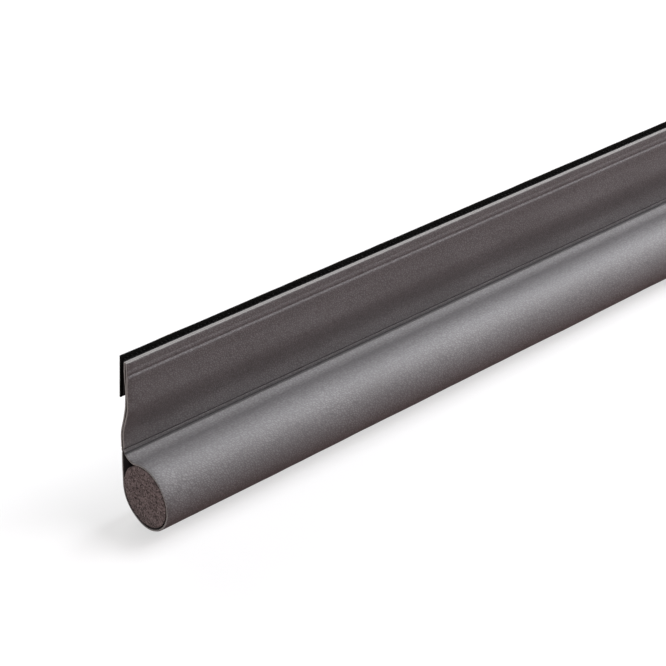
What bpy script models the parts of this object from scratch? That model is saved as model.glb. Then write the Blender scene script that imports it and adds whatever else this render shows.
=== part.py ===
"""Stick-on door sweep: a leathercloth flap and sleeve round a foam rod, held by hook-and-loop tape.

The frame: +X runs along the length, the door is on the +Y side with its face in the plane Y = 0,
and +Z is up. The origin is the middle of the face that is stuck to the door. Metres throughout.
"""

import math

import bmesh
import bpy
from mathutils import Vector
from mathutils.geometry import tessellate_polygon

# Sizes that can each be set by themselves.
LENGTH = 0.930
FLAP_HEIGHT = 0.0372  # from the flap's top edge to the fold line under it
FOAM_DIAMETER = 0.0235
SLEEVE_SLACK = 0.00065  # the sleeve's radius inside, less the foam's
SKIN = 0.0008  # leathercloth
HOOK_TAPE_HEIGHT = 0.0170
LOOP_TAPE_HEIGHT = 0.0140
TAPE_THICKNESS = 0.0010  # of each half, with its hooks or loops pressed together
ADHESIVE_THICKNESS = 0.0004
ADHESIVE_INSET = 0.0004  # the glue stops this far inside the tape's edges
TAPE_SHOWS = 0.0011  # the hook tape stands this far above the flap's top edge
STRAIGHT_BELOW_TAPE = 0.0040  # the flap stays straight this far below the loop tape
NECK_HEIGHT = 0.0031  # the flap lies along the door this far above its lower edge
WELD_STRIP_HEIGHT = 0.0020  # where the two skins are fused, from the fold line down
NECK_RISE = 0.0025  # the fold line stands this far above the sleeve's top
HOLLOW_RADIUS = 0.0050  # the hollow between the weld and the sleeve's round front
CORE_RECESS = 0.0005  # the foam stops this far inside the sleeve's ends
CORE_CHAMFER = 0.0003

# Clearances.
LAY_GAP = 0.0003  # between two pieces that lie on each other
NECK_OFF_DOOR = 0.0003
SLEEVE_OFF_DOOR = 0.0001

# How finely the curves are faceted.
SWEEP_BACK_STEPS = 12
FOLD_STEPS = 8
HOLLOW_STEPS = 6
SLEEVE_STEP_DEG = 7.5
ROD_SIDES = 48

# The stack of layers, as distances out from the door's face.
HOOK_TAPE_BACK = ADHESIVE_THICKNESS + LAY_GAP
HOOK_TAPE_FRONT = HOOK_TAPE_BACK + TAPE_THICKNESS
LOOP_TAPE_BACK = HOOK_TAPE_FRONT + LAY_GAP
LOOP_TAPE_FRONT = LOOP_TAPE_BACK + TAPE_THICKNESS
FLAP_HALF = SKIN + LAY_GAP / 2  # from the middle of the two skins to either outside
FLAP_MIDDLE = LOOP_TAPE_FRONT + LAY_GAP + FLAP_HALF
NECK_MIDDLE = NECK_OFF_DOOR + FLAP_HALF

# Heights, from the middle of the hook tape.
FLAP_TOP = HOOK_TAPE_HEIGHT / 2 - TAPE_SHOWS
LOOP_TAPE_BOTTOM = FLAP_TOP - LOOP_TAPE_HEIGHT
SWEEP_BACK_TOP = LOOP_TAPE_BOTTOM - STRAIGHT_BELOW_TAPE
FOLD_LINE = FLAP_TOP - FLAP_HEIGHT
FLAP_BOTTOM = FOLD_LINE + FLAP_HALF + LAY_GAP
SWEEP_BACK_HEIGHT = SWEEP_BACK_TOP - NECK_HEIGHT - FLAP_BOTTOM  # where the flap curves back
WELD_BOTTOM = FOLD_LINE - WELD_STRIP_HEIGHT

# The sleeve.
SLEEVE_INSIDE = FOAM_DIAMETER / 2 + SLEEVE_SLACK
SLEEVE_OUTSIDE = SLEEVE_INSIDE + SKIN
SLEEVE_Y = -(SLEEVE_OUTSIDE + SLEEVE_OFF_DOOR)
SLEEVE_Z = FOLD_LINE - NECK_RISE - SLEEVE_OUTSIDE
FOAM_Y = SLEEVE_Y + (SLEEVE_SLACK - LAY_GAP)  # the rod lies against the sleeve's back

FOLD_AXIS = Vector((0.0, -NECK_MIDDLE, FOLD_LINE))
FOAM_AXIS = Vector((0.0, FOAM_Y, SLEEVE_Z))

GREY_LEATHERCLOTH = ("grey_leathercloth", (0.105, 0.097, 0.103), 0.52)
BLACK_NYLON = ("black_nylon", (0.012, 0.012, 0.013), 0.85)
PALE_GLUE = ("pale_glue", (0.62, 0.60, 0.55), 0.40)
BROWN_FOAM = ("brown_foam", (0.085, 0.068, 0.066), 0.95)


def clear_scene():
    for old in list(bpy.data.objects):
        bpy.data.objects.remove(old, do_unlink=True)


def principled(look):
    name, colour, roughness = look
    material = bpy.data.materials.get(name) or bpy.data.materials.new(name)
    material.use_nodes = True
    shader = material.node_tree.nodes["Principled BSDF"]
    shader.inputs["Base Color"].default_value = (*colour, 1.0)
    shader.inputs["Roughness"].default_value = roughness
    shader.inputs["Metallic"].default_value = 0.0
    return material


def arc(centre, radius, start, end, steps):
    """Points of an arc as (y, z). Angles are in radians, from +Y towards +Z."""
    angles = (start + (end - start) * i / steps for i in range(steps + 1))
    return [(centre[0] + radius * math.cos(a), centre[1] + radius * math.sin(a)) for a in angles]


def add_axis(name, place, parent=None):
    """An empty that stands on a joint's axis."""
    empty = bpy.data.objects.new(name, None)
    empty.empty_display_size = 0.02
    empty.location = place - (parent.matrix_world.translation if parent else Vector())
    empty.parent = parent
    bpy.context.scene.collection.objects.link(empty)
    bpy.context.view_layer.update()
    return empty


def add_piece(name, mesh, look, parent, origin):
    """Puts a mesh whose points are measured from origin into the scene, under its joint's empty."""
    mesh.materials.append(principled(look))
    piece = bpy.data.objects.new(name, mesh)
    piece.parent = parent
    piece.location = origin - (parent.matrix_world.translation if parent else Vector())
    bpy.context.scene.collection.objects.link(piece)
    return piece


def prism(name, outlines, origin, start=-LENGTH / 2, end=LENGTH / 2):
    """A mesh with the same section all along X. The first outline is the outside, any other a hole."""
    rings = [[Vector((0.0, y - origin.y, z - origin.z)) for y, z in ring] for ring in outlines]
    triangles = tessellate_polygon(rings)
    section = [point for ring in rings for point in ring]
    shape = bmesh.new()
    near, far = (
        [shape.verts.new(point + Vector((x - origin.x, 0.0, 0.0))) for point in section]
        for x in (start, end)
    )
    for corners in triangles:
        shape.faces.new([near[i] for i in corners])
        shape.faces.new([far[i] for i in corners])
    first = 0
    for ring in rings:
        for i in range(len(ring)):
            a = first + i
            b = first + (i + 1) % len(ring)
            shape.faces.new((near[a], near[b], far[b], far[a]))
        first += len(ring)
    bmesh.ops.recalc_face_normals(shape, faces=shape.faces)
    mesh = bpy.data.meshes.new(name)
    shape.to_mesh(mesh)
    shape.free()
    mesh.shade_smooth()
    mesh.set_sharp_from_angle(angle=math.radians(20))
    return mesh


def block(back, front, bottom, top):
    """The outline of a flat strip, from its distances out from the door and its heights."""
    return [(-back, bottom), (-back, top), (-front, top), (-front, bottom)]


def make_adhesive():
    high = HOOK_TAPE_HEIGHT / 2 - ADHESIVE_INSET
    half_long = LENGTH / 2 - ADHESIVE_INSET
    outline = block(0.0, ADHESIVE_THICKNESS, -high, high)
    mesh = prism("adhesive_layer", [outline], Vector(), -half_long, half_long)
    add_piece("adhesive_layer", mesh, PALE_GLUE, None, Vector())


def make_hook_tape():
    half = HOOK_TAPE_HEIGHT / 2
    outline = block(HOOK_TAPE_BACK, HOOK_TAPE_FRONT, -half, half)
    add_piece("hook_tape", prism("hook_tape", [outline], Vector()), BLACK_NYLON, None, Vector())


def make_loop_tape(release):
    origin = release.matrix_world.translation
    outline = block(LOOP_TAPE_BACK, LOOP_TAPE_FRONT, LOOP_TAPE_BOTTOM, FLAP_TOP)
    add_piece("loop_tape", prism("loop_tape", [outline], origin), BLACK_NYLON, release, origin)


def flap_middle(depth):
    """The middle of the flap's two skins at a depth below its top, as (y, z) and the unit outward normal.

    It is straight over the tape, then curves back to the door along a smooth step.
    """
    z = FLAP_TOP - depth
    back = min(max((SWEEP_BACK_TOP - z) / SWEEP_BACK_HEIGHT, 0.0), 1.0)
    shift = FLAP_MIDDLE - NECK_MIDDLE
    y = -FLAP_MIDDLE + shift * back * back * (3 - 2 * back)
    slope = shift * 6 * back * (1 - back) / SWEEP_BACK_HEIGHT
    long = math.hypot(1.0, slope)
    return (y, z), (-1.0 / long, -slope / long)


def flap_skin(inner, outer):
    """A skin's outline between two distances out from the middle of the flap."""
    straight = FLAP_TOP - SWEEP_BACK_TOP
    depths = [0.0]
    depths += [straight + SWEEP_BACK_HEIGHT * i / SWEEP_BACK_STEPS for i in range(SWEEP_BACK_STEPS + 1)]
    depths.append(FLAP_TOP - FLAP_BOTTOM)
    sides = []
    for away in (inner, outer):
        points = (flap_middle(depth) for depth in depths)
        sides.append([(y + away * out_y, z + away * out_z) for (y, z), (out_y, out_z) in points])
    return sides[0] + sides[1][::-1]


def make_flap(release):
    origin = release.matrix_world.translation
    layers = {
        "flap_back_skin": (-FLAP_HALF, -LAY_GAP / 2),
        "flap_front_skin": (LAY_GAP / 2, FLAP_HALF),
    }
    for name, (inner, outer) in layers.items():
        mesh = prism(name, [flap_skin(inner, outer)], origin)
        add_piece(name, mesh, GREY_LEATHERCLOTH, release, origin)


def hollow_arc():
    """The centre of the hollow under the weld, and the direction from the sleeve's middle towards it.

    The hollow passes through the weld strip's foot in front and touches the sleeve's round.
    """
    foot_y = -NECK_MIDDLE - FLAP_HALF - SLEEVE_Y
    foot_z = WELD_BOTTOM - SLEEVE_Z
    away = math.hypot(foot_y, foot_z)
    reach = SLEEVE_OUTSIDE + HOLLOW_RADIUS
    turn = math.acos((reach**2 + away**2 - HOLLOW_RADIUS**2) / (2 * reach * away))
    direction = math.atan2(foot_z, foot_y) + turn
    centre = (SLEEVE_Y + reach * math.cos(direction), SLEEVE_Z + reach * math.sin(direction))
    return centre, direction


def sleeve_face(inset, foot_back):
    """A face of the sleeve, from the weld's foot in front, round the foam, to its foot at the back.

    inset is how far the face lies inside the sleeve's outer face. foot_back is (y, z), and a
    straight run reaches it that touches the round.
    """
    centre, touch = hollow_arc()
    hollow = HOLLOW_RADIUS + inset
    radius = SLEEVE_OUTSIDE - inset
    foot_y = -NECK_MIDDLE - FLAP_HALF + inset - centre[0]
    points = arc(centre, hollow, -math.acos(foot_y / hollow), touch - math.pi, HOLLOW_STEPS)
    back_y = foot_back[0] - SLEEVE_Y
    back_z = foot_back[1] - SLEEVE_Z
    back = math.atan2(back_z, back_y) - math.acos(radius / math.hypot(back_y, back_z)) + 2 * math.pi
    steps = math.ceil(math.degrees(back - touch) / SLEEVE_STEP_DEG)
    points += arc((SLEEVE_Y, SLEEVE_Z), radius, touch, back, steps)[1:]
    return points + [foot_back]


def make_sleeve(swing):
    """One closed loop of skin, with its two lips fused into the weld strip and rounded at the fold."""
    origin = swing.matrix_world.translation
    outside = arc((-NECK_MIDDLE, FOLD_LINE), FLAP_HALF, 0.0, math.pi, FOLD_STEPS)
    outside += sleeve_face(0.0, (-NECK_MIDDLE + FLAP_HALF, WELD_BOTTOM))
    inside = sleeve_face(SKIN, (-NECK_MIDDLE + LAY_GAP / 2, WELD_BOTTOM))
    mesh = prism("sleeve_skin", [outside, inside], origin)
    add_piece("sleeve_skin", mesh, GREY_LEATHERCLOTH, swing, origin)


def make_foam_rod(slide):
    origin = slide.matrix_world.translation
    shape = bmesh.new()
    bmesh.ops.create_cone(
        shape,
        cap_ends=True,
        segments=ROD_SIDES,
        radius1=FOAM_DIAMETER / 2,
        radius2=FOAM_DIAMETER / 2,
        depth=LENGTH - 2 * CORE_RECESS,
    )
    rims = [edge for edge in shape.edges if any(len(face.verts) > 4 for face in edge.link_faces)]
    bmesh.ops.bevel(shape, geom=rims, offset=CORE_CHAMFER, segments=1, affect="EDGES")
    mesh = bpy.data.meshes.new("foam_rod")
    shape.to_mesh(mesh)
    shape.free()
    mesh.shade_smooth()
    mesh.set_sharp_from_angle(angle=math.radians(20))
    rod = add_piece("foam_rod", mesh, BROWN_FOAM, slide, origin)
    rod.rotation_euler = (0.0, math.pi / 2, 0.0)


def main():
    clear_scene()
    release = add_axis("hook_release_axis", Vector((0.0, -LOOP_TAPE_BACK, 0.0)))
    swing = add_axis("tube_swing_axis", FOLD_AXIS, release)
    slide = add_axis("core_slide_axis", FOAM_AXIS, swing)
    make_adhesive()
    make_hook_tape()
    make_loop_tape(release)
    make_flap(release)
    make_sleeve(swing)
    make_foam_rod(slide)


main()
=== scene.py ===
"""The looks of a stick-on door sweep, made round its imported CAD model.

One sheet of grey leathercloth is folded round a foam rod. Its two edges meet in a flap, which
hook-and-loop tape holds to the door. The frame is the CAD's: metres, +X along the sweep, the door's
face in the plane Y = 0 with the door on its +Y side, +Z up.
"""

import math

import bmesh
import bpy
import numpy as np
from mathutils import Euler, Matrix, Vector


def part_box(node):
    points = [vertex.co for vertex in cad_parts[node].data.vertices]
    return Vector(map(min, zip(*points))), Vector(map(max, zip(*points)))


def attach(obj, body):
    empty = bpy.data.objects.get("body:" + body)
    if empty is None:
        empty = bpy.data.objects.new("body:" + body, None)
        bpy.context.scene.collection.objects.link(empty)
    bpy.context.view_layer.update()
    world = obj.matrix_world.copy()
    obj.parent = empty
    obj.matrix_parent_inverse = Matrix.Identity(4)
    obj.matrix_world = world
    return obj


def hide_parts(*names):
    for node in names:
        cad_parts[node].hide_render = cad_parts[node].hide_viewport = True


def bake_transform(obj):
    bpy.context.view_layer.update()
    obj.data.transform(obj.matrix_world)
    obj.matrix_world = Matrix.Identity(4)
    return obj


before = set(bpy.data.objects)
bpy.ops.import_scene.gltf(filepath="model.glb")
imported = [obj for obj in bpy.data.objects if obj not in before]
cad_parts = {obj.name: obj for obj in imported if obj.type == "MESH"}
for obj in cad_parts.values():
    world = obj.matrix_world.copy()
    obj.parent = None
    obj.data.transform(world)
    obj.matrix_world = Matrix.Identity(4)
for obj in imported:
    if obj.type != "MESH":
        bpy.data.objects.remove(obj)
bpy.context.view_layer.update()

MM = 0.001

# The sheet, as in the CAD.
SKIN = 0.8 * MM
STRAIGHT_BELOW_TAPE = 4.0 * MM
NECK_HEIGHT = 3.1 * MM
WELD_STRIP_HEIGHT = 2.0 * MM
HOLLOW_RADIUS = 5.0 * MM

# The flap's two layers lie on each other, closer than in the CAD.
LAYERS_APART = 0.06 * MM

# The weld: a strip pressed flat, with a pressed line near its top and one along its foot. Each line
# is (how far below the fold line, half its width, how strong it is).
WELD_TOP_LINE = (0.65 * MM, 0.45 * MM, 1.15)
WELD_FOOT_LINE = (WELD_STRIP_HEIGHT + 0.3 * MM, 0.5 * MM, 1.0)
WELD_LINE_DEPTH = 0.36 * MM
WELD_STRIP_DEPTH = 0.18 * MM
WELD_STEP_START = 0.5 * MM  # the flap starts to step in this much above the top line
WELD_STEP_REACH = 0.45 * MM  # and has stepped in this much further down
WELD_SHARE_ON_BACK = 0.45
# How much of the painted shade in the weld lines the flap's back gets.
WELD_SHADE_ON_BACK = 0.3

# The lines pressed into the flap's front near its top, each as (how far below it, half its width,
# its height), and the raised lip under them.
SEAM_TOP_GROOVE = (2.9 * MM, 0.5 * MM, -0.10 * MM)
SEAM_PILLOW = (4.1 * MM, 0.9 * MM, 0.07 * MM)
SEAM_LOWER_GROOVE = (5.15 * MM, 0.6 * MM, -0.12 * MM)
SEAM_LIP = 6.1 * MM
SEAM_LIP_HEIGHT = 0.34 * MM
SEAM_LIP_RISE = 0.8 * MM  # the lip reaches its height over this much
SEAM_LIP_FADE = 5.0 * MM  # and sinks back to the flap over this much
SEAM_SHARE_ON_BACK = -0.1

# The sheet's cut edges.
TOP_EDGE_ROUNDING = 0.14 * MM
TOP_EDGE_REACH = 0.25 * MM
END_ROUNDING = ((0.0, 0.14), (0.07, 0.05), (0.22, 0.0))  # in mm: how far in from the end, how much thinner
END_WAVER = 0.18 * MM  # how far the cut ends stray from straight

# How uneven the sheet is: each is (how far out or in, how long its waves are).
FLAP_SWAY = (0.30 * MM, 62 * MM)
SLEEVE_BULGE = (0.11 * MM, 46 * MM)
SLEEVE_RIPPLE = (0.05 * MM, 19 * MM)
WELD_PUCKER = (0.07 * MM, 15 * MM)
END_CURL = 0.22 * MM  # how far the flap curls at its left end
END_CURL_REACH = 12 * MM
SWAY_FADE = 7 * MM  # over this much the flap's sway fades towards the tape and towards the fold line

# Stations along the sheet's section, and rings along its length.
FINE_STEP = 0.24 * MM
FLAP_STEP = 1.0 * MM
ROUND_STEP = 1.25 * MM
RING_STEP = 3.3 * MM
FINE_AT_EDGE = 0.5 * MM  # fine stations reach this far from a top edge
FINE_ABOVE_SEAM = 0.6 * MM
FINE_ROUND_WELD = 1.3 * MM
OUTER_FACE, BACKING, CUT_EDGE = range(3)  # the sheet's materials

FOAM_SEGMENTS = 176
FOAM_END_RINGS = 33
FOAM_SIDE_RINGS = 150
FOAM_PITS = 420
FOAM_FILLS = 0.28 * MM  # the foam nearly fills the sleeve: its radius is this much over the CAD rod's
FOAM_BACKWARD = 0.05 * MM  # and its middle is this much nearer the door
FOAM_WAVER = 0.07 * MM
FOAM_HUB = 0.1 * MM  # how far in the middle of its ends lies
FOAM_RIM = 0.22 * MM  # how far the rim of its ends is rounded back
FOAM_RIM_REACH = 0.6 * MM

# The tapes. A pitch is (along, across), and a thread's radius is that of its three-sided section.
WOVEN_THICKNESS = 0.45 * MM
OFF_ADHESIVE = 0.03 * MM
OFF_SHEET = 0.04 * MM
HOOK_PITCH = (1.8 * MM, 1.45 * MM)
LOOP_PITCH = (2.0 * MM, 1.5 * MM)
HOOK_RADIUS = 0.09 * MM
LOOP_RADIUS = 0.06 * MM
HOOK_SPREAD = 0.12  # how much the threads' directions differ, in radians
LOOP_SPREAD = 1.2
THREAD_SIDES = 3
SELVEDGE = 1.2 * MM  # the tapes' plain edges
CUT_SKEW = 0.7 * MM  # how much further in the tapes' left end is cut at its top
TAPE_EDGE_WAVER = 0.06 * MM
GLUE_EDGE_WAVER = 0.16 * MM

# Colours, as linear red, green and blue.
LEATHER = (0.156, 0.151, 0.154)
LEATHER_WORN = (0.188, 0.182, 0.186)
# Painted shade in the grain's creases.
LEATHER_PAINTED_CREASE_SHADE = (0.106, 0.101, 0.103)
# Painted shade for the weld lines pressed into the flap.
LEATHER_PAINTED_LINE_SHADE = (0.040, 0.038, 0.039)
KNIT_DEEP = (0.030, 0.027, 0.027)
KNIT_RAISED = (0.085, 0.080, 0.078)
CUT_COAT = (0.14, 0.132, 0.134)
CUT_FIBRE = (0.155, 0.148, 0.144)
CUT_FIBRE_PALE = (0.27, 0.26, 0.25)
FOAM_DARK = (0.055, 0.043, 0.042)
FOAM_PALE = (0.190, 0.152, 0.150)
FOAM_OPEN_CELL = (0.016, 0.012, 0.012)
FOAM_CRUMB = (0.28, 0.235, 0.225)
NYLON_DEEP = (0.0035, 0.0035, 0.0035)
NYLON_RAISED = (0.010, 0.010, 0.0095)
NYLON_FUZZ = (0.016, 0.016, 0.015)
THREAD_DARK = (0.004, 0.004, 0.004)
THREAD_PALE = (0.014, 0.014, 0.013)
GLUE_DULL = (0.50, 0.47, 0.41)
GLUE_PALE = (0.66, 0.64, 0.58)

# Scales that turn metres into millimetres, in a material's own places.
TO_MM = (1000.0, 1000.0, 1000.0)
TO_MM_FLAT = (1000.0, 1000.0, 0.0)
GRAIN_STRETCH = (0.66, 1.2, 0.0)  # the leather's grain is longer along its slant than across it
GRAIN_SLANT = -math.pi / 4

# The camera, at the angle that the object is seen from.
CAMERA_PLACE = (-0.8110, -0.4807, 0.3799)
CAMERA_AZIMUTH = -43.01
CAMERA_ELEVATION = 31.50
CAMERA_ROLL = 1.49
CAMERA_LENS = 107.95  # in mm, like the sensor
CAMERA_SENSOR = 36.0

# The set: the floor as seen and as it throws light up, and the room's strength as light and as seen.
FLOOR_SIZE = 12.0
FLOOR_BELOW_SWEEP = 0.05 * MM
FLOOR_BOUNCE = (0.25, 0.18, 0.172)
FLOOR_COLOUR = (0.28, 0.275, 0.275)
FLOOR_GLOW = 0.62
ROOM_COLOUR = (1.0, 0.975, 0.97)
ROOM_LIGHT = 0.05
ROOM_SHOWN = 0.85

# Each softbox: its name, azimuth, elevation, size, power and colour.
SOFTBOX_AWAY = 2.2
SOFTBOXES = (
    ("key_softbox", 80, 55, (1.6, 1.2), 76, (0.93, 0.965, 1.0)),
    ("front_softbox", 50, 45, (1.6, 1.2), 30, (1.0, 0.91, 0.91)),
    ("left_softbox", -92, 8, (1.2, 0.5), 22.5, (1.0, 0.96, 0.95)),
    ("back_softbox", 165, 35, (1.6, 1.2), 30, (1.0, 0.985, 0.98)),
)

box = {name: [np.array(corner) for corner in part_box(name)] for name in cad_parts}
LEFT = box["sleeve_skin"][0][0]
RIGHT = box["sleeve_skin"][1][0]
LENGTH = RIGHT - LEFT
FLAP_TOP = box["flap_front_skin"][1][2]
FLAP_FRONT = box["flap_front_skin"][0][1]
FLAP_BACK = box["flap_back_skin"][0][1] + SKIN
FLAP_HALF = (FLAP_BACK - FLAP_FRONT) / 2
FLAP_MIDDLE = (FLAP_BACK + FLAP_FRONT) / 2
NECK_MIDDLE = box["flap_back_skin"][1][1] - FLAP_HALF
FOLD_LINE = box["sleeve_skin"][1][2] - FLAP_HALF
WELD_BOTTOM = FOLD_LINE - WELD_STRIP_HEIGHT
SLEEVE_RADIUS = (box["sleeve_skin"][1][1] - box["sleeve_skin"][0][1]) / 2
SLEEVE_Y = (box["sleeve_skin"][1][1] + box["sleeve_skin"][0][1]) / 2
SLEEVE_Z = box["sleeve_skin"][0][2] + SLEEVE_RADIUS
FLOOR_Z = box["sleeve_skin"][0][2]
SWEEP_BACK_TOP = box["loop_tape"][0][2] - STRAIGHT_BELOW_TAPE
SWEEP_BACK_HEIGHT = SWEEP_BACK_TOP - NECK_HEIGHT - box["flap_front_skin"][0][2]


# Shapes ------------------------------------------------------------------------------------------


def smooth_step(value):
    value = np.clip(value, 0.0, 1.0)
    return value * value * (3 - 2 * value)


def hump(value, centre, half):
    """1 at centre, falling smoothly to 0 at half away from it."""
    return smooth_step(1 - np.abs(value - centre) / half)


def uneven(x, s, size, seed, terms=20):
    """A smooth unevenness, mostly from -1 to 1, over the places (x, s). Its waves are about size long."""
    random = np.random.default_rng(seed)
    total = np.zeros(np.broadcast(x, s).shape)
    for turn, rate, phase in random.uniform((0, 0.6, 0), (math.pi, 1.6, 2 * math.pi), (terms, 3)):
        along = x * math.cos(turn) + s * math.sin(turn)
        total += np.sin(2 * math.pi * rate * along / size + phase)
    return total / math.sqrt(2 * terms)


def arc(centre, radius, start, end, step):
    """Points of an arc as rows of (y, z). Angles are in radians, from +Y towards +Z."""
    angles = np.linspace(start, end, 2 + int(abs(end - start) * radius / step))
    return np.column_stack([centre[0] + radius * np.cos(angles), centre[1] + radius * np.sin(angles)])


def grid_faces(rows, columns):
    """Quads of a grid of points whose last column joins its first."""
    row = np.arange(rows - 1)[:, None] * columns
    column = np.arange(columns)[None, :]
    after = (column + 1) % columns
    corners = [row + column, row + after, row + columns + after, row + columns + column]
    return np.stack(corners, axis=-1).reshape(-1, 4)


def make_piece(name, points, faces, materials, slots=None, sharp=38.0):
    """A closed mesh with its faces pointing out. slots gives each face's material, if it isn't the first."""
    mesh = bpy.data.meshes.new(name)
    mesh.from_pydata(points.tolist(), [], faces)
    if slots is not None:
        mesh.polygons.foreach_set("material_index", slots.astype(np.int32))
    shape = bmesh.new()
    shape.from_mesh(mesh)
    bmesh.ops.recalc_face_normals(shape, faces=shape.faces)
    shape.to_mesh(mesh)
    shape.free()
    mesh.shade_smooth()
    mesh.set_sharp_from_angle(angle=math.radians(sharp))
    for material in materials:
        mesh.materials.append(material)
    piece = bpy.data.objects.new(name, mesh)
    bpy.context.scene.collection.objects.link(piece)
    return piece


def set_places(piece, places, pressed):
    """Keeps each point's place on the flat sheet, (along, across, depth), and how much painted shade it gets
    in the lines pressed into it.
    """
    attribute = piece.data.attributes.new("flat_place", "FLOAT_VECTOR", "POINT")
    attribute.data.foreach_set("vector", places.astype(np.float32).ravel())
    attribute = piece.data.attributes.new("pressed", "FLOAT", "POINT")
    attribute.data.foreach_set("value", pressed.astype(np.float32).ravel())


# The sheet ---------------------------------------------------------------------------------------


def flap_face(side):
    """The flap's front (side -1) or back (side 1) face as rows of (y, z), from its top to the weld's foot."""
    z = np.linspace(FLAP_TOP, WELD_BOTTOM, 500)
    back = np.clip((SWEEP_BACK_TOP - z) / SWEEP_BACK_HEIGHT, 0, 1)
    shift = NECK_MIDDLE - FLAP_MIDDLE
    y = FLAP_MIDDLE + shift * back * back * (3 - 2 * back)
    slope = shift * 6 * back * (1 - back) / SWEEP_BACK_HEIGHT
    long = np.hypot(1, slope)
    return np.column_stack([y + side * FLAP_HALF / long, z + side * FLAP_HALF * slope / long])


def sleeve_face():
    """The sleeve's outer face as rows of (y, z), from the weld's foot in front to its foot at the back."""
    foot_y = NECK_MIDDLE - FLAP_HALF - SLEEVE_Y
    foot_z = WELD_BOTTOM - SLEEVE_Z
    away = math.hypot(foot_y, foot_z)
    reach = SLEEVE_RADIUS + HOLLOW_RADIUS
    turn = math.acos((reach**2 + away**2 - HOLLOW_RADIUS**2) / (2 * reach * away))
    touch = math.atan2(foot_z, foot_y) + turn
    centre = (SLEEVE_Y + reach * math.cos(touch), SLEEVE_Z + reach * math.sin(touch))
    start = -math.acos((foot_y + SLEEVE_Y - centre[0]) / HOLLOW_RADIUS)
    hollow = arc(centre, HOLLOW_RADIUS, start, touch - math.pi, FINE_STEP)
    back_y = NECK_MIDDLE + FLAP_HALF - SLEEVE_Y
    back = math.atan2(foot_z, back_y) - math.acos(SLEEVE_RADIUS / math.hypot(back_y, foot_z)) + 2 * math.pi
    return hollow, arc((SLEEVE_Y, SLEEVE_Z), SLEEVE_RADIUS, touch, back, FINE_STEP)


def lengths_along(points):
    return np.concatenate([[0], np.cumsum(np.hypot(*np.diff(points, axis=0).T))])


def stations(front_end, round_start, round_end, total):
    """Distances along the section, close together where its shape is fine."""
    places = [0.0]
    while places[-1] < total:
        s = places[-1]
        depth = min(s, total - s)
        seam = SEAM_TOP_GROOVE[0] - FINE_ABOVE_SEAM < s < SEAM_LIP + SEAM_LIP_RISE
        weld = abs(depth - front_end) < WELD_STRIP_HEIGHT + FINE_ROUND_WELD
        if depth < FINE_AT_EDGE or seam or weld:
            step = FINE_STEP
        elif round_start < s < round_end:
            step = ROUND_STEP
        else:
            step = FLAP_STEP
        places.append(s + step)
    places = np.array(places)
    return places * total / places[-1]


def seam_relief(depth):
    """The lines pressed near the flap's top: a groove, a low pillow, and a lower groove with a raised lip."""
    rise = smooth_step((depth - SEAM_LIP + SEAM_LIP_RISE) / SEAM_LIP_RISE)
    relief = SEAM_LIP_HEIGHT * rise * smooth_step((SEAM_LIP + SEAM_LIP_FADE - depth) / SEAM_LIP_FADE)
    for centre, half, height in (SEAM_TOP_GROOVE, SEAM_PILLOW, SEAM_LOWER_GROOVE):
        relief += height * hump(depth, centre, half)
    return relief


def weld_lines(below_fold):
    """The lines pressed along the weld's top and foot: about 1 in the middle of each."""
    lines = (WELD_TOP_LINE, WELD_FOOT_LINE)
    return sum(strength * hump(below_fold, centre, half) for centre, half, strength in lines)


def weld_relief(below_fold):
    """The weld: the flap steps in to a flat strip, with a pressed line near its top and along its foot."""
    foot, foot_half, _ = WELD_FOOT_LINE
    strip = smooth_step((below_fold - WELD_TOP_LINE[0] + WELD_STEP_START) / WELD_STEP_REACH)
    past_foot = smooth_step((below_fold - foot) / foot_half)
    return -WELD_STRIP_DEPTH * strip * (1 - past_foot) - WELD_LINE_DEPTH * weld_lines(below_fold)


def sheet_section():
    """The sheet's section: its outer face, the way out of it, how far along it is, its thickness and total
    length, and where the round part that holds the foam starts and ends."""
    front = flap_face(-1)
    hollow, rounded = sleeve_face()
    path = np.vstack([front, hollow[1:], rounded[1:], flap_face(1)[::-1]])
    along = lengths_along(path)
    total = along[-1]
    front_end = along[len(front) - 1]
    round_start = along[len(front) + len(hollow) - 2]
    round_end = along[len(front) + len(hollow) + len(rounded) - 3]
    s = stations(front_end, round_start, round_end, total)
    face = np.column_stack([np.interp(s, along, path[:, 0]), np.interp(s, along, path[:, 1])])
    ahead = np.column_stack([np.interp(s + 0.1 * MM, along, path[:, i]) for i in (0, 1)])
    behind = np.column_stack([np.interp(s - 0.1 * MM, along, path[:, i]) for i in (0, 1)])
    way = ahead - behind
    way /= np.hypot(*way.T)[:, None]
    out = np.column_stack([way[:, 1], -way[:, 0]])
    in_flap = np.maximum(smooth_step((front_end - s) / MM), smooth_step((s - total + front_end) / MM))
    thick = SKIN + (FLAP_HALF - LAYERS_APART / 2 - SKIN) * in_flap
    return face, out, s, thick, total, round_start, round_end


def sheet_rings():
    """Places along the sheet, close together at its ends, and how much thinner the sheet is at each."""
    rings = np.linspace(LEFT, RIGHT, 1 + round(LENGTH / RING_STEP))[1:-1]
    from_end, thinner = np.array(END_ROUNDING).T * MM
    ring_x = np.concatenate([LEFT + from_end, rings, RIGHT - from_end[::-1]])
    return ring_x, np.concatenate([thinner, np.zeros(len(rings)), thinner[::-1]])


def sheet_relief(below_fold, depth, on_front, in_flap):
    """How far the outer face stands out at each station, from the lines pressed into it and its top edges."""
    weld = np.where(in_flap, weld_relief(below_fold), 0) * np.where(on_front, 1.0, WELD_SHARE_ON_BACK)
    seam = seam_relief(depth) * np.where(on_front, 1.0, SEAM_SHARE_ON_BACK)
    return weld + seam - TOP_EDGE_ROUNDING * np.clip(1 - depth / TOP_EDGE_REACH, 0, 1) ** 2


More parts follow.
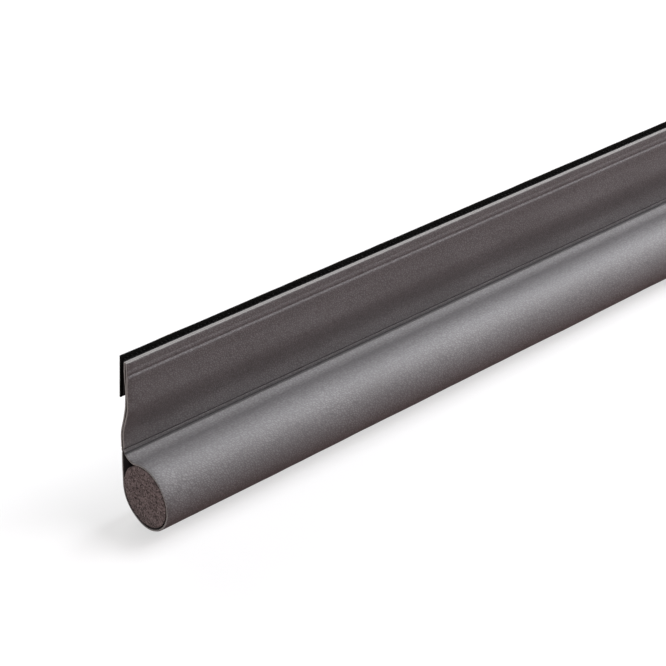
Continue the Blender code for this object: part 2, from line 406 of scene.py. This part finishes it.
def flap_sway(x, z):
    """How far the flap stands off its place: uneven where it is loose, and curled at its left end."""
    waves, size = FLAP_SWAY
    off_tape = smooth_step((box["loop_tape"][0][2] + 2 * MM - z) / SWAY_FADE)
    off_fold = smooth_step((z - FOLD_LINE) / SWAY_FADE)
    sway = waves * uneven(x, z, size, 3) * off_tape * off_fold
    at_end = np.exp(-(x - LEFT) / END_CURL_REACH)
    low = smooth_step((SWEEP_BACK_TOP - 7 * MM - z) / (9 * MM))
    high = smooth_step((z - SWEEP_BACK_TOP) / (6 * MM))
    return sway * (1 - at_end) + END_CURL * (low - high) * at_end


def sheet_unevenness(x, along, round_start, round_end, on_front):
    """How far the sheet stands out in its round part, and in the puckers under the weld."""
    bulge = sum(
        height * uneven(x, along, size, seed)
        for (height, size), seed in ((SLEEVE_BULGE, 11), (SLEEVE_RIPPLE, 12))
    )
    rounding = smooth_step((along - round_start) / (8 * MM)) * smooth_step((round_end - along) / (8 * MM))
    height, size = WELD_PUCKER
    under_weld = hump(along, round_start - 3 * MM, 8 * MM) * on_front
    return bulge * rounding + height * uneven(x, along * 0.3, size, 21) * under_weld


def sheet_faces(rows, count):
    """The closed sheet's faces between its rings and over its two ends, and each face's material."""
    faces = grid_faces(rows, 2 * count)
    slots = np.full(2 * count, OUTER_FACE)
    slots[count : 2 * count - 1] = BACKING
    slots[[count - 1, 2 * count - 1]] = CUT_EDGE
    j = np.arange(count - 1)
    end = np.column_stack([j, j + 1, 2 * count - 2 - j, 2 * count - 1 - j])
    faces = np.vstack([faces, end, end + (rows - 1) * 2 * count])
    return faces, np.concatenate([np.tile(slots, rows - 1), np.full(2 * len(end), CUT_EDGE)])


def make_sheet(materials):
    """The whole sheet, with its backing and its cut edges, as one closed mesh, and its flat width."""
    face, out, s, thick, total, round_start, round_end = sheet_section()
    ring_x, thinner = sheet_rings()
    x, along = np.meshgrid(ring_x, s, indexing="ij")
    y = np.broadcast_to(face[:, 0], x.shape).copy()
    z = np.broadcast_to(face[:, 1], x.shape)

    on_front = s < total / 2
    depth = np.where(on_front, s, total - s)
    below_fold = FOLD_LINE - face[:, 1]
    in_flap = (s < round_start) | (s > round_end + 4 * MM)
    relief = sheet_relief(below_fold, depth, on_front, in_flap)
    y += np.where(depth < FLAP_TOP - FOLD_LINE + 2 * MM, flap_sway(x, z), 0)
    uneven_by = sheet_unevenness(x, along, round_start, round_end, on_front)
    thinner = thinner[:, None]
    x_cut = x + END_WAVER * uneven(x * 0, along, 21 * MM, 5) * (thinner > 0)

    faced = relief + uneven_by - thinner
    backed = uneven_by - thick + thinner
    outer = np.stack([x_cut, y + out[:, 0] * faced, z + out[:, 1] * faced], -1)
    inner = np.stack([x_cut, y + out[:, 0] * backed, z + out[:, 1] * backed], -1)
    points = np.concatenate([outer, inner[:, ::-1]], axis=1).reshape(-1, 3)
    faces, slots = sheet_faces(len(ring_x), len(s))
    cover = make_piece("leathercloth_cover", points, faces.tolist(), materials, slots)

    places = np.stack([x, along, 0 * x], -1)
    deep_places = np.stack([x, along, 0 * x + SKIN], -1)
    places = np.concatenate([places, deep_places[:, ::-1]], axis=1).reshape(-1, 3)
    # How much painted shade each point gets in the weld lines pressed into the flap, weaker on its back.
    lines = np.clip(weld_lines(below_fold), 0, 1) * in_flap * np.where(on_front, 1.0, WELD_SHADE_ON_BACK)
    pressed = np.broadcast_to(lines, x.shape)
    set_places(cover, places, np.concatenate([pressed, 0 * pressed], axis=1))
    return cover, total


# The foam ----------------------------------------------------------------------------------------


def foam_end(radius, seed):
    """The rings' radii, and how far the foam's cut end stands in at each (ring, segment)."""
    radii = radius * np.linspace(0, 1, FOAM_END_RINGS + 1)[1:]
    angles = np.arange(FOAM_SEGMENTS) * 2 * math.pi / FOAM_SEGMENTS
    y = radii[:, None] * np.cos(angles)
    z = radii[:, None] * np.sin(angles)
    random = np.random.default_rng(seed)
    deep = 0.05 * MM * uneven(y, z, 2.2 * MM, seed) + 0.10 * MM * uneven(y, z, 9 * MM, seed + 1)
    for _ in range(FOAM_PITS):
        away = radius * math.sqrt(random.uniform(0, 0.97))
        turn = random.uniform(0, 2 * math.pi)
        wide = random.uniform(0.28, 0.75) * MM
        gap = np.hypot(y - away * math.cos(turn), z - away * math.sin(turn))
        deep = deep + random.uniform(0.08, 0.3) * MM * smooth_step(1 - gap / wide)
    rim = smooth_step((radii - radius + FOAM_RIM_REACH) / FOAM_RIM_REACH)[:, None]
    return radii, deep + FOAM_RIM * rim


def foam_faces(rows):
    """The rod's faces: between its rings, and round the hub in the middle of each end."""
    faces = grid_faces(rows, FOAM_SEGMENTS).tolist()
    left_hub = rows * FOAM_SEGMENTS
    last_ring = left_hub - FOAM_SEGMENTS
    for i in range(FOAM_SEGMENTS):
        after = (i + 1) % FOAM_SEGMENTS
        faces.append((left_hub, i, after))
        faces.append((left_hub + 1, last_ring + i, last_ring + after))
    return faces


def make_foam(material):
    """The foam rod, with pits where cells were cut open at its ends and a skin that isn't quite even."""
    low, high = box["foam_rod"]
    radius = (high[2] - low[2]) / 2 + FOAM_FILLS
    centre_y = (low[1] + high[1]) / 2 + FOAM_BACKWARD
    centre_z = (low[2] + high[2]) / 2
    angles = np.arange(FOAM_SEGMENTS) * 2 * math.pi / FOAM_SEGMENTS
    radii, left = foam_end(radius, 31)
    right = foam_end(radius, 47)[1]
    side_x = np.linspace(low[0], high[0], FOAM_SIDE_RINGS + 2)[1:-1]
    side_x = np.repeat(side_x[:, None], FOAM_SEGMENTS, axis=1)
    x = np.vstack([LEFT + left, side_x, RIGHT - right[::-1]])
    reach = np.concatenate([radii, np.full(FOAM_SIDE_RINGS, radius), radii[::-1]])[:, None]
    on_side = reach > 0.97 * radius
    reach = reach + FOAM_WAVER * (uneven(x, angles * radius, 17 * MM, 61) - 1) * on_side
    y = centre_y + reach * np.cos(angles)
    z = centre_z + reach * np.sin(angles)
    hubs = [(LEFT + FOAM_HUB, centre_y, centre_z), (RIGHT - FOAM_HUB, centre_y, centre_z)]
    points = np.vstack([np.stack([x, y, z], -1).reshape(-1, 3), hubs])
    return make_piece("foam_core", points, foam_faces(len(x)), [material], sharp=60.0)


# The tapes ---------------------------------------------------------------------------------------


def make_strip(name, low, high, material, wave=TAPE_EDGE_WAVER):
    """A flat strip with round, slightly wandering edges, such as a woven tape or a film of glue."""
    half = (high[1] - low[1]) / 2
    middle = (high[1] + low[1]) / 2
    bottom = arc((middle, low[2] + half), half, math.pi, 2 * math.pi, half / 3)
    top = arc((middle, high[2] - half), half, 0, math.pi, half / 3)
    levels = np.linspace(low[2] + half, high[2] - half, 14)[1:-1]
    up = np.column_stack([np.full_like(levels, middle + half), levels])
    down = np.column_stack([np.full_like(levels, middle - half), levels[::-1]])
    section = np.vstack([bottom, up, top, down])
    ring_x = np.linspace(low[0], high[0], 2 + round((high[0] - low[0]) / (4 * MM)))
    x, y = np.meshgrid(ring_x, section[:, 0], indexing="ij")
    z = np.broadcast_to(section[:, 1], x.shape)
    edge = np.where(z > (low[2] + high[2]) / 2, 1.0, 0.0)
    z = z + wave * (uneven(x, 0 * x, 24 * MM, 71) * edge + uneven(x, 0 * x, 31 * MM, 72) * (1 - edge))
    skew = CUT_SKEW * (z - low[2]) / (high[2] - low[2]) * (high[0] - x) / (high[0] - low[0])
    points = np.stack([x + skew, y, z], -1).reshape(-1, 3)
    rows, columns = x.shape
    faces = grid_faces(rows, columns).tolist()
    faces.append(range(columns))
    faces.append(range((rows - 1) * columns, rows * columns))
    return make_piece(name, points, faces, [material])


def thread_faces(rows):
    """One thread's faces: its sides between the rows of its line, and its two ends."""
    faces = []
    for i in range(rows - 1):
        for k in range(THREAD_SIDES):
            a = i * THREAD_SIDES + k
            b = i * THREAD_SIDES + (k + 1) % THREAD_SIDES
            faces.append((a, b, b + THREAD_SIDES, a + THREAD_SIDES))
    last = (rows - 1) * THREAD_SIDES
    return faces + [tuple(range(THREAD_SIDES)), tuple(range(last, last + THREAD_SIDES))]


def make_threads(name, low, high, pitch, line, thick, way, material, seed, spread):
    """Many short curved threads that stand on a strip's face and never meet it.

    line is a thread's own shape as rows of (along, out). way is -1 or 1, the way out along Y.
    """
    random = np.random.default_rng(seed)
    ground = low[1] if way < 0 else high[1]
    xs = np.arange(low[0] + pitch[0], high[0] - pitch[0], pitch[0])
    zs = np.arange(low[2] + SELVEDGE, high[2] - SELVEDGE, pitch[1])
    steps = np.gradient(line, axis=0)
    steps /= np.hypot(*steps.T)[:, None]
    round_angles = np.arange(THREAD_SIDES) * 2 * math.pi / THREAD_SIDES
    along = line[:, :1] - steps[:, 1:] * thick * np.cos(round_angles)
    out = line[:, 1:] + steps[:, :1] * thick * np.cos(round_angles)
    side = thick * np.sin(round_angles)
    one_faces = thread_faces(len(line))
    points, faces = [], []
    for column, z in enumerate(zs):
        odd = column % 2
        for x in xs:
            turn = random.normal(0, spread) + odd * math.pi
            size = random.uniform(0.88, 1.08)
            x_place = x + random.uniform(-0.25, 0.25) * pitch[0] + odd * pitch[0] / 2
            z_place = z + random.uniform(-0.15, 0.15) * pitch[1]
            first = len(points) * out.size
            flat = along * size
            one = [
                x_place + flat * math.cos(turn) - side * math.sin(turn),
                ground + way * out * size,
                z_place + flat * math.sin(turn) + side * math.cos(turn),
            ]
            points.append(np.stack(one, -1).reshape(-1, 3))
            faces += [tuple(first + v for v in face) for face in one_faces]
    return make_piece(name, np.vstack(points), faces, [material], sharp=180.0)


def hook_line():
    """A hook: it stands up, then bends over and down again."""
    bend = arc((0.20 * MM, 0.52 * MM), 0.20 * MM, math.pi, -0.25 * math.pi, 0.14 * MM)
    return np.vstack([[(0.0, 0.02 * MM)], bend])


def loop_line():
    """A loop of the pile: up and over to where it goes back into the cloth."""
    return arc((0.45 * MM, 0.0), 0.45 * MM, math.pi, 0, 0.3 * MM) * (1.0, 1.35) + (0, 0.01 * MM)


def make_adhesive(material):
    """The film of glue on the hook tape's back, with an edge that has crept a little."""
    return make_strip("adhesive_film", *box["adhesive_layer"], material, wave=GLUE_EDGE_WAVER)


# Materials ---------------------------------------------------------------------------------------


def add_node(tree, kind, inputs=None, **settings):
    """A shader node with its settings. Each input is a number, a tuple or another node's output."""
    node = tree.nodes.new(kind)
    for name, value in settings.items():
        setattr(node, name, value)
    for name, value in (inputs or {}).items():
        socket = node.inputs[name]
        if isinstance(value, bpy.types.NodeSocket):
            tree.links.new(value, socket)
        else:
            socket.default_value = value
    return node


def new_material(name):
    material = bpy.data.materials.new(name)
    material.use_nodes = True
    return material, material.node_tree, material.node_tree.nodes["Principled BSDF"]


def math_node(tree, operation, a, b=0.0, clamp=False):
    node = add_node(tree, "ShaderNodeMath", {0: a, 1: b}, operation=operation)
    node.use_clamp = clamp
    return node.outputs[0]


def remap(tree, value, low, high, to_low=0.0, to_high=1.0):
    inputs = {"Value": value, "From Min": low, "From Max": high, "To Min": to_low, "To Max": to_high}
    return add_node(tree, "ShaderNodeMapRange", inputs).outputs["Result"]


def blend_colours(tree, share, first, second):
    """A colour mixed from two, by share from 0 to 1."""
    node = add_node(tree, "ShaderNodeMix", data_type="RGBA")
    colours = [socket for socket in node.inputs if socket.type == "RGBA"]
    for socket, colour in zip(colours, (first, second)):
        if isinstance(colour, bpy.types.NodeSocket):
            tree.links.new(colour, socket)
        else:
            socket.default_value = (*colour, 1.0)
    tree.links.new(share, node.inputs[0])
    return [socket for socket in node.outputs if socket.type == "RGBA"][0]


def flat_place(tree, scale):
    """Where a point lies on the flat sheet, times scale."""
    place = add_node(tree, "ShaderNodeAttribute", attribute_name="flat_place").outputs["Vector"]
    return add_node(
        tree, "ShaderNodeVectorMath", {0: place, 1: scale}, operation="MULTIPLY"
    ).outputs["Vector"]


def object_place(tree, scale):
    """Where a point lies in its piece, times scale."""
    place = add_node(tree, "ShaderNodeTexCoord").outputs["Object"]
    return add_node(
        tree, "ShaderNodeVectorMath", {0: place, 1: scale}, operation="MULTIPLY"
    ).outputs["Vector"]


def noise(tree, place, scale, detail=3.0, rough=0.55):
    inputs = {"Vector": place, "Scale": scale, "Detail": detail, "Roughness": rough}
    return add_node(tree, "ShaderNodeTexNoise", inputs).outputs[0]


def bump(tree, shader, height, strength, distance):
    node = add_node(
        tree, "ShaderNodeBump", {"Height": height, "Strength": strength, "Distance": distance}
    )
    tree.links.new(node.outputs["Normal"], shader.inputs["Normal"])


def leather_face():
    """Grey leathercloth: fine grain drawn out slantwise, with painted shade in the creases between, faint
    mottling, and painted shade in the pressed weld lines.
    """
    material, tree, shader = new_material("grey_leathercloth")
    straight = flat_place(tree, TO_MM_FLAT)
    turned = add_node(
        tree, "ShaderNodeVectorRotate", {"Vector": straight, "Angle": GRAIN_SLANT}, rotation_type="Z_AXIS"
    ).outputs["Vector"]
    place = add_node(
        tree, "ShaderNodeVectorMath", {0: turned, 1: GRAIN_STRETCH}, operation="MULTIPLY"
    ).outputs["Vector"]
    bend = add_node(
        tree, "ShaderNodeTexNoise", {"Vector": place, "Scale": 0.55, "Detail": 2.0}
    ).outputs["Color"]
    moved = add_node(
        tree, "ShaderNodeVectorMath", {0: bend, 1: (0.9, 0.9, 0.0), 2: place}, operation="MULTIPLY_ADD"
    ).outputs["Vector"]
    cells = add_node(
        tree,
        "ShaderNodeTexVoronoi",
        {"Vector": moved, "Scale": 1.15, "Randomness": 0.95},
        feature="DISTANCE_TO_EDGE",
    ).outputs["Distance"]
    crease = remap(tree, cells, 0.0, 0.22)
    fine = noise(tree, place, 2.6, 4.0)
    height = math_node(tree, "MULTIPLY_ADD", fine, 0.45)
    tree.links.new(crease, height.node.inputs[2])
    bump(tree, shader, height, 0.34, 0.12 * MM)
    cloudy = noise(tree, straight, 0.022, 4.0)
    worn = remap(tree, cloudy, 0.3, 0.7)
    base = blend_colours(tree, worn, LEATHER, LEATHER_WORN)
    # Painted shade darkens the grain's creases.
    shade = blend_colours(tree, crease, LEATHER_PAINTED_CREASE_SHADE, base)
    # Painted shade darkens the pressed weld lines.
    pressed = add_node(tree, "ShaderNodeAttribute", attribute_name="pressed").outputs["Fac"]
    shade = blend_colours(tree, remap(tree, pressed, 0.1, 0.7, 0.0, 0.95), shade, LEATHER_PAINTED_LINE_SHADE)
    tree.links.new(shade, shader.inputs["Base Color"])
    tree.links.new(remap(tree, fine, 0.25, 0.75, 0.54, 0.66), shader.inputs["Roughness"])
    return material


def leather_backing():
    """The knitted backing on the sheet's inner side."""
    material, tree, shader = new_material("knit_backing")
    place = flat_place(tree, TO_MM_FLAT)
    rows = add_node(
        tree,
        "ShaderNodeTexWave",
        {"Vector": place, "Scale": 0.55, "Distortion": 1.4, "Detail": 2.0},
        bands_direction="X",
    ).outputs["Fac"]
    stitches = add_node(
        tree,
        "ShaderNodeTexWave",
        {"Vector": place, "Scale": 0.8, "Distortion": 1.0, "Detail": 1.0},
        bands_direction="Y",
    ).outputs["Fac"]
    knit = math_node(tree, "MULTIPLY", rows, stitches)
    bump(tree, shader, knit, 0.6, 0.12 * MM)
    colour = blend_colours(tree, knit, KNIT_DEEP, KNIT_RAISED)
    tree.links.new(colour, shader.inputs["Base Color"])
    shader.inputs["Roughness"].default_value = 0.95
    return material


def leather_cut():
    """A cut edge: the grey coat as a thin line, then the pale fibres of the backing."""
    material, tree, shader = new_material("leathercloth_cut_edge")
    place = flat_place(tree, TO_MM)
    depth = add_node(tree, "ShaderNodeSeparateXYZ", {0: place}).outputs["Z"]
    fibres = noise(tree, place, 3.2, 4.0, 0.7)
    edge = math_node(tree, "MULTIPLY_ADD", fibres, 0.25)
    tree.links.new(depth, edge.node.inputs[2])
    pale = blend_colours(tree, remap(tree, fibres, 0.3, 0.7), CUT_FIBRE, CUT_FIBRE_PALE)
    colour = blend_colours(tree, remap(tree, edge, 0.16, 0.28), CUT_COAT, pale)
    tree.links.new(colour, shader.inputs["Base Color"])
    shader.inputs["Roughness"].default_value = 0.9
    bump(tree, shader, fibres, 0.6, 0.12 * MM)
    return material


def foam_look():
    """Brown-grey closed-cell foam, with dark open cells and a few pale crumbs."""
    material, tree, shader = new_material("brown_foam")
    place = object_place(tree, TO_MM)
    cells = add_node(tree, "ShaderNodeTexVoronoi", {"Vector": place, "Scale": 1.0}, feature="F1")
    near = cells.outputs["Distance"]
    own = add_node(tree, "ShaderNodeSeparateColor", {0: cells.outputs["Color"]}).outputs[0]
    grain = noise(tree, place, 1.3, 5.0, 0.75)
    body = blend_colours(tree, remap(tree, grain, 0.42, 0.58), FOAM_DARK, FOAM_PALE)
    open_cell = math_node(tree, "MULTIPLY", remap(tree, near, 0.46, 0.20), remap(tree, own, 0.58, 0.64))
    dark = blend_colours(tree, open_cell, body, FOAM_OPEN_CELL)
    crumb = math_node(tree, "MULTIPLY", remap(tree, near, 0.30, 0.12), remap(tree, own, 0.20, 0.15))
    colour = blend_colours(tree, crumb, dark, FOAM_CRUMB)
    tree.links.new(colour, shader.inputs["Base Color"])
    shader.inputs["Roughness"].default_value = 0.95
    shader.inputs["Specular IOR Level"].default_value = 0.25
    height = math_node(tree, "MULTIPLY_ADD", near, 0.8)
    tree.links.new(grain, height.node.inputs[2])
    bump(tree, shader, height, 0.9, 0.35 * MM)
    return material


def woven_nylon():
    """Black nylon tape, woven with fine ribs along and across it."""
    material, tree, shader = new_material("black_nylon_weave")
    place = object_place(tree, TO_MM)
    waves = [
        add_node(
            tree,
            "ShaderNodeTexWave",
            {"Vector": place, "Scale": scale, "Distortion": 0.5, "Detail": 1.0},
            bands_direction=way,
        ).outputs["Fac"]
        for way, scale in (("X", 0.62), ("Z", 0.85))
    ]
    weave = math_node(tree, "MULTIPLY", *waves)
    fuzz = noise(tree, place, 1.4, 4.0)
    bump(tree, shader, weave, 0.5, 0.12 * MM)
    base = blend_colours(tree, weave, NYLON_DEEP, NYLON_RAISED)
    colour = blend_colours(tree, remap(tree, fuzz, 0.45, 0.9), base, NYLON_FUZZ)
    tree.links.new(colour, shader.inputs["Base Color"])
    tree.links.new(remap(tree, fuzz, 0.3, 0.7, 0.75, 0.95), shader.inputs["Roughness"])
    shader.inputs["Specular IOR Level"].default_value = 0.06
    return material


def nylon_thread(name, roughness):
    """Black nylon filament, a little different from thread to thread."""
    material, tree, shader = new_material(name)
    tint = noise(tree, object_place(tree, TO_MM), 0.45, 2.0)
    colour = blend_colours(tree, remap(tree, tint, 0.3, 0.7), THREAD_DARK, THREAD_PALE)
    tree.links.new(colour, shader.inputs["Base Color"])
    tree.links.new(
        remap(tree, tint, 0.3, 0.7, roughness - 0.08, roughness + 0.08), shader.inputs["Roughness"]
    )
    shader.inputs["Specular IOR Level"].default_value = 0.2
    return material


def glue_look():
    """Pale pressure-sensitive glue, slightly cloudy, with the print of the door's paint in it."""
    material, tree, shader = new_material("pale_glue")
    place = object_place(tree, TO_MM)
    cloud = noise(tree, place, 0.09, 5.0, 0.6)
    print_mark = noise(tree, place, 1.1, 3.0)
    colour = blend_colours(tree, remap(tree, cloud, 0.3, 0.7), GLUE_DULL, GLUE_PALE)
    tree.links.new(colour, shader.inputs["Base Color"])
    tree.links.new(remap(tree, cloud, 0.3, 0.7, 0.22, 0.42), shader.inputs["Roughness"])
    bump(tree, shader, print_mark, 0.35, 0.1 * MM)
    return material


# The set -----------------------------------------------------------------------------------------


def make_floor():
    """A plain pale floor.

    Seen by the camera it is partly lit by its own glow, so it is nearly white and its shadows are pale. It
    throws less light up at the sweep than it shows, as a floor lower down would.
    """
    bpy.ops.mesh.primitive_plane_add(size=FLOOR_SIZE, location=(0.0, 0.0, FLOOR_Z - FLOOR_BELOW_SWEEP))
    floor = bpy.context.object
    floor.name = "studio_floor"
    material, tree, shader = new_material("pale_floor")
    shader.inputs["Base Color"].default_value = (*FLOOR_COLOUR, 1.0)
    shader.inputs["Emission Color"].default_value = (1.0, 1.0, 1.0, 1.0)
    shader.inputs["Emission Strength"].default_value = FLOOR_GLOW
    shader.inputs["Roughness"].default_value = 0.9
    shader.inputs["Specular IOR Level"].default_value = 0.1
    bounce = add_node(tree, "ShaderNodeBsdfDiffuse", {"Color": (*FLOOR_BOUNCE, 1.0)})
    seen = add_node(tree, "ShaderNodeLightPath").outputs["Is Camera Ray"]
    both = add_node(
        tree, "ShaderNodeMixShader", {0: seen, 1: bounce.outputs[0], 2: shader.outputs[0]}
    )
    tree.links.new(both.outputs[0], tree.nodes["Material Output"].inputs["Surface"])
    floor.data.materials.append(material)


def add_softbox(name, azimuth, elevation, size, power, colour):
    """A rectangular light that faces the sweep, a third of its length from its left end."""
    data = bpy.data.lights.new(name, "AREA")
    data.shape = "RECTANGLE"
    data.size, data.size_y = size
    data.energy = power
    data.color = colour
    light = bpy.data.objects.new(name, data)
    turn = Euler((math.radians(90 - elevation), 0, math.radians(azimuth))).to_matrix().to_4x4()
    target = ((2 * LEFT + RIGHT) / 3, SLEEVE_Y, SLEEVE_Z)
    light.matrix_world = Matrix.Translation(target) @ turn @ Matrix.Translation((0, 0, SOFTBOX_AWAY))
    bpy.context.scene.collection.objects.link(light)


def make_lights():
    """The softboxes, and a room that shows nearly white but lights the sweep only a little."""
    for softbox in SOFTBOXES:
        add_softbox(*softbox)
    world = bpy.data.worlds.new("soft_room")
    world.use_nodes = True
    tree = world.node_tree
    background = tree.nodes["Background"]
    background.inputs["Color"].default_value = (*ROOM_COLOUR, 1.0)
    seen = add_node(tree, "ShaderNodeLightPath").outputs["Is Camera Ray"]
    tree.links.new(remap(tree, seen, 0.0, 1.0, ROOM_LIGHT, ROOM_SHOWN), background.inputs["Strength"])
    bpy.context.scene.world = world


def make_camera():
    data = bpy.data.cameras.new("camera")
    data.sensor_width = CAMERA_SENSOR
    data.lens = CAMERA_LENS
    data.clip_start = 0.01
    camera = bpy.data.objects.new("camera", data)
    turn = Euler((math.radians(90 - CAMERA_ELEVATION), 0, math.radians(CAMERA_AZIMUTH))).to_matrix()
    roll = Matrix.Rotation(math.radians(CAMERA_ROLL), 3, "Z")
    camera.matrix_world = Matrix.Translation(CAMERA_PLACE) @ (turn @ roll).to_4x4()
    bpy.context.scene.collection.objects.link(camera)
    bpy.context.scene.camera = camera


# Put together ------------------------------------------------------------------------------------


def add_foam():
    foam = make_foam(foam_look())
    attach(foam, "core")
    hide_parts("foam_rod")
    return foam


def add_tapes():
    """Both tapes and the glue. Gives the glue, and each tape's strip with its corners and its threads."""
    weave = woven_nylon()
    hook_low, hook_high = (corner.copy() for corner in box["hook_tape"])
    loop_low, loop_high = (corner.copy() for corner in box["loop_tape"])
    hook_low[1] = hook_high[1] - WOVEN_THICKNESS
    hook_high[1] = box["adhesive_layer"][0][1] - OFF_ADHESIVE
    loop_high[1] = loop_low[1] + WOVEN_THICKNESS
    loop_low[1] = FLAP_BACK + OFF_SHEET
    hook_strip = make_strip("hook_tape_woven", hook_low, hook_high, weave)
    hooks = make_threads(
        "hook_tape_hooks", hook_low, hook_high, HOOK_PITCH, hook_line(), HOOK_RADIUS, -1,
        nylon_thread("nylon_hooks", 0.35), 83, HOOK_SPREAD,
    )
    loop_strip = make_strip("loop_tape_woven", loop_low, loop_high, weave)
    loops = make_threads(
        "loop_tape_pile", loop_low, loop_high, LOOP_PITCH, loop_line(), LOOP_RADIUS, 1,
        nylon_thread("nylon_loops", 0.6), 89, LOOP_SPREAD,
    )
    film = make_adhesive(glue_look())
    for piece, body, node, slot in (
        (hook_strip, "door_side", "hook_tape", "tape"),
        (hooks, "door_side", "hook_tape", "tape"),
        (loop_strip, "flap", "loop_tape", "tape"),
        (loops, "flap", "loop_tape", "tape"),
        (film, "door_side", "adhesive_layer", "adhesive"),
    ):
        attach(piece, body)
        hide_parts(node)
    return film, (hook_strip, hook_low, hook_high, [hooks]), (loop_strip, loop_low, loop_high, [loops])


def add_cover():
    """The leathercloth: one sheet over the flap, above the fold line, and the sleeve, below the weld."""
    cover, across = make_sheet([leather_face(), leather_backing(), leather_cut()])
    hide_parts("flap_front_skin", "flap_back_skin", "sleeve_skin")
    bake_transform(cover)
    return cover


def main():
    make_camera()
    make_lights()
    make_floor()
    bpy.context.scene.view_settings.view_transform = "Standard"
    foam = add_foam()
    film, *tapes = add_tapes()
    cover = add_cover()


main()
